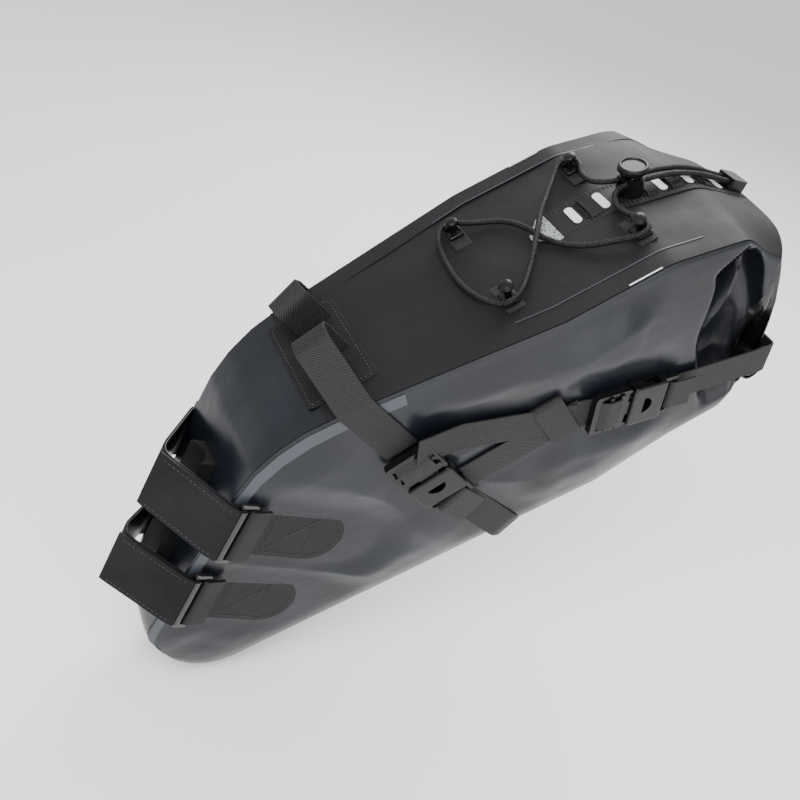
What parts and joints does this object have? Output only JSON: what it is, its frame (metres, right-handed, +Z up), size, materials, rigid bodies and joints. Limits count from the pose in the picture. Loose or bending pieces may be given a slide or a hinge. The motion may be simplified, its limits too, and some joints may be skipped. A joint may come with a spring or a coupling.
{
  "type": "saddle bag",
  "caption": "Roll-top bag hung behind a seatpost by two wrap straps and under a saddle by buckled rail straps, with a laced elastic cord on top.",
  "frame": {"origin": "on the seatpost's axis, at the middle of the upper seatpost strap", "axes": "+X rearwards, +Y to the right of the rider, +Z up, with the bag pitched as it hangs on the bicycle"},
  "size_m": [0.4657, 0.183, 0.4266],
  "materials": {
    "top_fabric": "matt coated polyester",
    "side_fabric": "satin coated fabric",
    "board": "sheet polyethylene",
    "ring_wire": "black painted wire",
    "strap_sheet": "smooth coated sheet with loop back",
    "pad_rubber": "ribbed rubber",
    "spring_steel": "bright spring wire",
    "reflective": "reflective film",
    "cord": "braided elastic cord",
    "moulded_plastic": "moulded acetal",
    "daisy_webbing": "woven tape",
    "webbing": "woven polyester webbing"
  },
  "bodies": {
    "bag": {"belly_strap": "webbing", "bottom_panel": "side_fabric", "bungee_cord": "cord", "compression_strap_left": "webbing", "compression_strap_right": "webbing", "cord_end_clip": "moulded_plastic", "cord_hooks": "moulded_plastic", "cord_lock_body": "moulded_plastic", "cord_lock_spring": "spring_steel", "daisy_chain": "daisy_webbing", "hook_tabs": "webbing", "keeper_left": "webbing", "keeper_right": "webbing", "lower_ring_left": "ring_wire", "lower_ring_right": "ring_wire", "lower_strap": "strap_sheet", "lower_tab_left": "strap_sheet", "lower_tab_right": "strap_sheet", "nose_panel": "side_fabric", "post_pads": "pad_rubber", "rail_buckle_socket_left": "moulded_plastic", "rail_buckle_socket_right": "moulded_plastic", "rail_strap_anchor": "webbing", "rail_strap_left": "webbing", "rail_strap_right": "webbing", "rail_strap_tail_left": "webbing", "rail_strap_tail_right": "webbing", "reflective_bars": "reflective", "side_panel_left": "side_fabric", "side_panel_right": "side_fabric", "stiffener_board": "board", "top_panel": "top_fabric", "upper_ring_left": "ring_wire", "upper_ring_right": "ring_wire", "upper_strap": "strap_sheet", "upper_tab_left": "strap_sheet", "upper_tab_right": "strap_sheet"},
    "upper_strap_tail": {"upper_strap_tail": "strap_sheet"},
    "lower_strap_tail": {"lower_strap_tail": "strap_sheet"},
    "cord_button": {"cord_lock_button": "moulded_plastic"},
    "rail_plug_left": {"rail_buckle_plug_left": "moulded_plastic"},
    "rail_prong_front_left": {"rail_buckle_prong_front_left": "moulded_plastic"},
    "rail_prong_rear_left": {"rail_buckle_prong_rear_left": "moulded_plastic"},
    "closure_plug_left": {"closure_buckle_plug_left": "moulded_plastic"},
    "closure_prong_front_left": {"closure_buckle_prong_front_left": "moulded_plastic"},
    "closure_prong_rear_left": {"closure_buckle_prong_rear_left": "moulded_plastic"},
    "rail_plug_right": {"rail_buckle_plug_right": "moulded_plastic"},
    "rail_prong_front_right": {"rail_buckle_prong_front_right": "moulded_plastic"},
    "rail_prong_rear_right": {"rail_buckle_prong_rear_right": "moulded_plastic"},
    "closure_plug_right": {"closure_buckle_plug_right": "moulded_plastic"},
    "closure_prong_front_right": {"closure_buckle_prong_front_right": "moulded_plastic"},
    "closure_prong_rear_right": {"closure_buckle_prong_rear_right": "moulded_plastic"},
    "closure": {"mouth_neck": "side_fabric", "closure_roll": "side_fabric", "roll_stiffener": "board", "roll_webbing_left": "webbing", "roll_webbing_right": "webbing", "closure_buckle_socket_left": "moulded_plastic", "closure_buckle_socket_right": "moulded_plastic"}
  },
  "joints": [
    {"name": "rail_buckle_left", "type": "slide", "parent": "bag", "child": "rail_plug_left", "axis": [-0.7172, 0.0372, 0.6959], "range_m": [0, 0.02]},
    {"name": "rail_prong_front_left", "type": "hinge", "parent": "rail_plug_left", "child": "rail_prong_front_left", "pos_m": [0.14666, -0.06966, 0.02903], "axis": [-0.117, -0.9908, -0.0676], "range_deg": [0, 17.5]},
    {"name": "rail_prong_rear_left", "type": "hinge", "parent": "rail_plug_left", "child": "rail_prong_rear_left", "pos_m": [0.16053, -0.07228, 0.04347], "axis": [0.117, 0.9908, 0.0676], "range_deg": [0, 17.5]},
    {"name": "rail_buckle_right", "type": "slide", "parent": "bag", "child": "rail_plug_right", "axis": [-0.7172, -0.0372, 0.6959], "range_m": [0, 0.02]},
    {"name": "rail_prong_front_right", "type": "hinge", "parent": "rail_plug_right", "child": "rail_prong_front_right", "pos_m": [0.14666, 0.06966, 0.02903], "axis": [0.117, -0.9908, 0.0676], "range_deg": [0, 17.5]},
    {"name": "rail_prong_rear_right", "type": "hinge", "parent": "rail_plug_right", "child": "rail_prong_rear_right", "pos_m": [0.16053, 0.07228, 0.04347], "axis": [-0.117, 0.9908, -0.0676], "range_deg": [0, 17.5]},
    {"name": "closure_buckle_left", "type": "slide", "parent": "closure", "child": "closure_plug_left", "axis": [-0.9816, 0, -0.1908], "range_m": [0, 0.02]},
    {"name": "closure_prong_front_left", "type": "hinge", "parent": "closure_plug_left", "child": "closure_prong_front_left", "pos_m": [0.2926, -0.0867, 0.08532], "axis": [0, -1, 0], "range_deg": [0, 17.5]},
    {"name": "closure_prong_rear_left", "type": "hinge", "parent": "closure_plug_left", "child": "closure_prong_rear_left", "pos_m": [0.28875, -0.0867, 0.10515], "axis": [0, 1, 0], "range_deg": [0, 17.5]},
    {"name": "closure_buckle_right", "type": "slide", "parent": "closure", "child": "closure_plug_right", "axis": [-0.9816, 0, -0.1908], "range_m": [0, 0.02]},
    {"name": "closure_prong_front_right", "type": "hinge", "parent": "closure_plug_right", "child": "closure_prong_front_right", "pos_m": [0.2926, 0.0867, 0.08532], "axis": [0, -1, 0], "range_deg": [0, 17.5]},
    {"name": "closure_prong_rear_right", "type": "hinge", "parent": "closure_plug_right", "child": "closure_prong_rear_right", "pos_m": [0.28875, 0.0867, 0.10515], "axis": [0, 1, 0], "range_deg": [0, 17.5]},
    {"name": "roll_closure", "type": "slide", "parent": "bag", "child": "closure", "axis": [0.9816, 0, 0.1908], "range_m": [0, 0.04]},
    {"name": "upper_strap_tail", "type": "hinge", "parent": "bag", "child": "upper_strap_tail", "pos_m": [0.01984, -0.05563, -0.00607], "axis": [0.2924, 0, 0.9563], "range_deg": [0, 100]},
    {"name": "lower_strap_tail", "type": "hinge", "parent": "bag", "child": "lower_strap_tail", "pos_m": [-0.00267, -0.04795, -0.0797], "axis": [0.2924, 0, 0.9563], "range_deg": [0, 100]},
    {"name": "cord_lock_button", "type": "slide", "parent": "bag", "child": "cord_button", "axis": [0.2677, 0, -0.9635], "range_m": [0, 0.0035], "stiffness_N_per_m": 400, "springref_m": -0.006, "deforming": ["cord_lock_spring"]}
  ],
  "couplings": [
    {"joint": "rail_prong_front_left", "follows": "rail_buckle_left", "rad_per_m": 15},
    {"joint": "rail_prong_rear_left", "follows": "rail_buckle_left", "rad_per_m": 15},
    {"joint": "rail_prong_front_right", "follows": "rail_buckle_right", "rad_per_m": 15},
    {"joint": "rail_prong_rear_right", "follows": "rail_buckle_right", "rad_per_m": 15},
    {"joint": "closure_prong_front_left", "follows": "closure_buckle_left", "rad_per_m": 15},
    {"joint": "closure_prong_rear_left", "follows": "closure_buckle_left", "rad_per_m": 15},
    {"joint": "closure_prong_front_right", "follows": "closure_buckle_right", "rad_per_m": 15},
    {"joint": "closure_prong_rear_right", "follows": "closure_buckle_right", "rad_per_m": 15}
  ]
}
